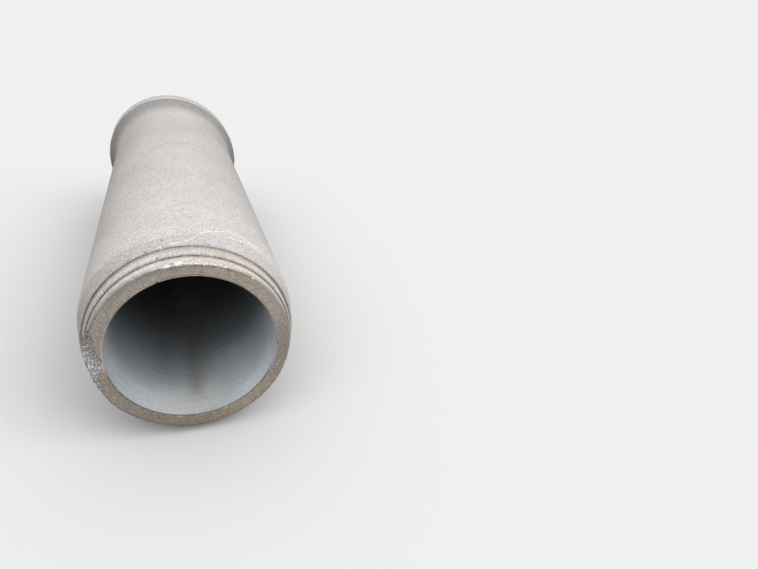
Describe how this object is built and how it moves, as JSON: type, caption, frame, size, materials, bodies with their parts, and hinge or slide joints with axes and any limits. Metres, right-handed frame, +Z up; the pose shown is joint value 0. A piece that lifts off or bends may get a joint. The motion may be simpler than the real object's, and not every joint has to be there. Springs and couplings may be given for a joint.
{
  "type": "concrete culvert pipe",
  "caption": "Straight round concrete drain pipe with a flared bell socket at one end and a stepped, tapered spigot for a rubber gasket joint at the other.",
  "frame": {"origin": "under the middle of the pipe's bounding box, on the floor that it lies on", "axes": "+Z up, +Y from the spigot towards the bell; the pipe's own axis rises 1.31 degrees towards +Y, because the wider bell holds that end up"},
  "size_m": [0.8128, 2.5428, 0.8147],
  "materials": {
    "concrete": "dry-cast, sandy, matt"
  },
  "bodies": {
    "root": {"concrete_pipe": "concrete"}
  },
  "joints": []
}
